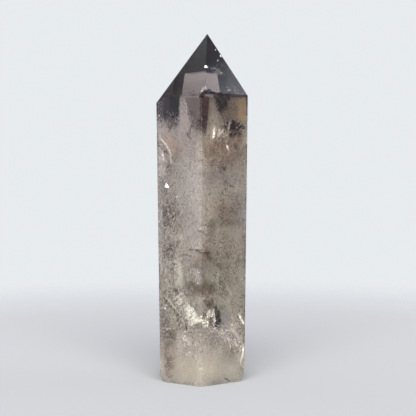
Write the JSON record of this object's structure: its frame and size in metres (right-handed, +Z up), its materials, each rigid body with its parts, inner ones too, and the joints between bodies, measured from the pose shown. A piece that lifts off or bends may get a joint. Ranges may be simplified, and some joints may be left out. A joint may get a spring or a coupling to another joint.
{
  "type": "smoky quartz tower",
  "caption": "Upright polished smoky quartz tower: a tapering six-sided column with a faceted point and a flat bevelled foot to stand on.",
  "frame": {"origin": "centre of the foot, on the surface the tower stands on", "axes": "+Z up along the column to the point, -Y towards the front edge between the two broad front flats, +X to the viewer's right"},
  "size_m": [0.0236, 0.0278, 0.09],
  "materials": {
    "smoky_quartz": "polished"
  },
  "bodies": {
    "root": {"tower": "smoky_quartz"}
  },
  "joints": []
}
